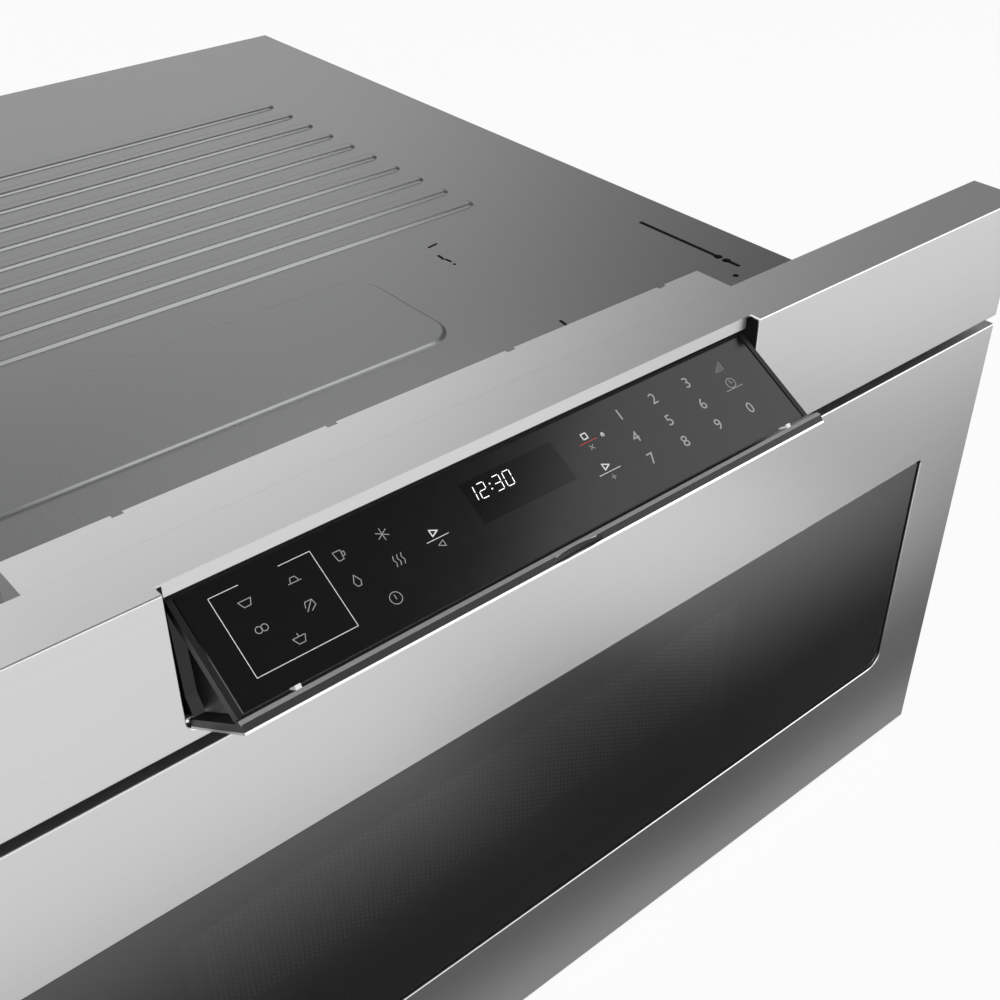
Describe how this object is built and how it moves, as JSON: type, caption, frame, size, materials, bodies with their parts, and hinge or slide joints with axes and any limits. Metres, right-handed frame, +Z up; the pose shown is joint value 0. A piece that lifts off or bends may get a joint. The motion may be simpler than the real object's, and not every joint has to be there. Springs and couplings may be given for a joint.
{
  "type": "microwave drawer",
  "caption": "Built-in microwave oven that opens as a drawer, with a stainless front, a dark window and a control panel that tilts out of the band above it.",
  "frame": {"origin": "middle of the underside of the base pan", "axes": "+X to the right seen from the front, +Y from the front to the back, +Z up; at rest the drawer is shut and the control panel is tilted open"},
  "size_m": [0.759, 0.6784, 0.4],
  "materials": {
    "stainless": "brushed stainless steel, grain side to side",
    "dark_housing": "matt dark grey paint",
    "chassis_grey": "satin dark grey coated sheet",
    "galvanised": "dull zinc coated sheet",
    "panel_black": "fine black moulded plastic",
    "trim_grey": "satin light grey plastic",
    "touch_glass": "gloss black printed glass",
    "window_glass": "dark tinted flat glass",
    "clear_glass": "clear flat glass",
    "tray_glass": "dark glass ceramic",
    "screen_black": "matt black perforated sheet",
    "liner_grey": "light grey enamel",
    "choke_black": "black plastic",
    "zinc_rail": "bright zinc plate",
    "ball_steel": "polished steel",
    "gear_white": "natural acetal",
    "motor_steel": "bare steel can",
    "board_green": "circuit board",
    "core_steel": "varnished steel laminations",
    "coil_copper": "enamelled copper wire",
    "aluminium_part": "plain aluminium",
    "white_plastic": "white plastic",
    "black_plastic": "black plastic",
    "mica": "pale mica sheet",
    "lamp_glass": "lamp glass",
    "gland_rubber": "black rubber",
    "screw_steel": "zinc plated"
  },
  "bodies": {
    "chassis": {"base_pan": "galvanised", "side_panels": "galvanised", "top_cover": "chassis_grey", "back_panel": "galvanised", "flange_stiles": "galvanised", "front_bulkhead": "galvanised", "front_frame": "stainless", "control_housing": "dark_housing", "housing_cap": "stainless", "hinge_pins": "screw_steel", "chassis_screws": "screw_steel", "outer_rails": "zinc_rail", "rail_brackets": "galvanised", "rear_bulkhead": "galvanised", "cavity_roof": "galvanised", "stirrer_cover": "mica", "stirrer_motor": "motor_steel", "waveguide": "aluminium_part", "magnetron": "aluminium_part", "transformer_core": "core_steel", "transformer_coils": "coil_copper", "hv_capacitor": "motor_steel", "fan_shroud": "black_plastic", "fan_motor": "motor_steel", "oven_lamp": "lamp_glass", "humidity_sensor": "black_plastic", "relay_board": "board_green", "filter_board": "board_green", "interlock_switches": "black_plastic", "gear_motor": "motor_steel", "motor_bracket": "galvanised", "cord_gland": "gland_rubber"},
    "drawer": {"drawer_skin": "stainless", "window_glass": "window_glass", "glass_frame": "screen_black", "mesh_panel": "screen_black", "door_choke": "choke_black", "inner_window": "clear_glass", "door_liner": "liner_grey", "tub_floor": "liner_grey", "tub_sides": "liner_grey", "tub_back": "liner_grey", "glass_tray": "tray_glass", "latch_strikers": "white_plastic", "inner_rails": "zinc_rail", "rack": "gear_white"},
    "middle_slides": {"middle_rails": "zinc_rail"},
    "outer_cages": {"outer_ball_cages": "ball_steel"},
    "inner_cages": {"inner_ball_cages": "ball_steel"},
    "drive_pinion": {"pinion": "gear_white"},
    "control_panel": {"panel_body": "panel_black", "panel_cover": "panel_black", "panel_fascia": "stainless", "lip_trim": "trim_grey", "touch_glass": "touch_glass", "touch_board": "board_green", "display_module": "black_plastic", "glass_clips": "white_plastic"},
    "fan": {"fan_wheel": "black_plastic"},
    "stirrer": {"stirrer_blade": "aluminium_part"}
  },
  "joints": [
    {"name": "drawer_slide", "type": "slide", "parent": "chassis", "child": "drawer", "axis": [0, -1, 0], "range_m": [0, 0.38]},
    {"name": "middle_slide", "type": "slide", "parent": "chassis", "child": "middle_slides", "axis": [0, -1, 0], "range_m": [0, 0.19]},
    {"name": "outer_cage_slide", "type": "slide", "parent": "chassis", "child": "outer_cages", "axis": [0, -1, 0], "range_m": [0, 0.095]},
    {"name": "inner_cage_slide", "type": "slide", "parent": "chassis", "child": "inner_cages", "axis": [0, -1, 0], "range_m": [0, 0.285]},
    {"name": "pinion_spin", "type": "hinge", "parent": "chassis", "child": "drive_pinion", "pos_m": [0, -0.263, 0.06162], "axis": [1, 0, 0], "range_deg": [0, 1620]},
    {"name": "panel_tilt", "type": "hinge", "parent": "chassis", "child": "control_panel", "pos_m": [0, -0.325, 0.3355], "axis": [-1, 0, 0], "range_deg": [0, 55.5]},
    {"name": "fan_spin", "type": "hinge", "parent": "chassis", "child": "fan", "pos_m": [-0.15, 0.275, 0.17], "axis": [0, 1, 0], "continuous": true},
    {"name": "stirrer_spin", "type": "hinge", "parent": "chassis", "child": "stirrer", "pos_m": [0, -0.085, 0.285], "axis": [0, 0, 1], "continuous": true}
  ],
  "couplings": [
    {"joint": "middle_slide", "follows": "drawer_slide", "ratio": 0.5},
    {"joint": "outer_cage_slide", "follows": "drawer_slide", "ratio": 0.25},
    {"joint": "inner_cage_slide", "follows": "drawer_slide", "ratio": 0.75},
    {"joint": "pinion_spin", "follows": "drawer_slide", "rad_per_m": 74.074}
  ]
}
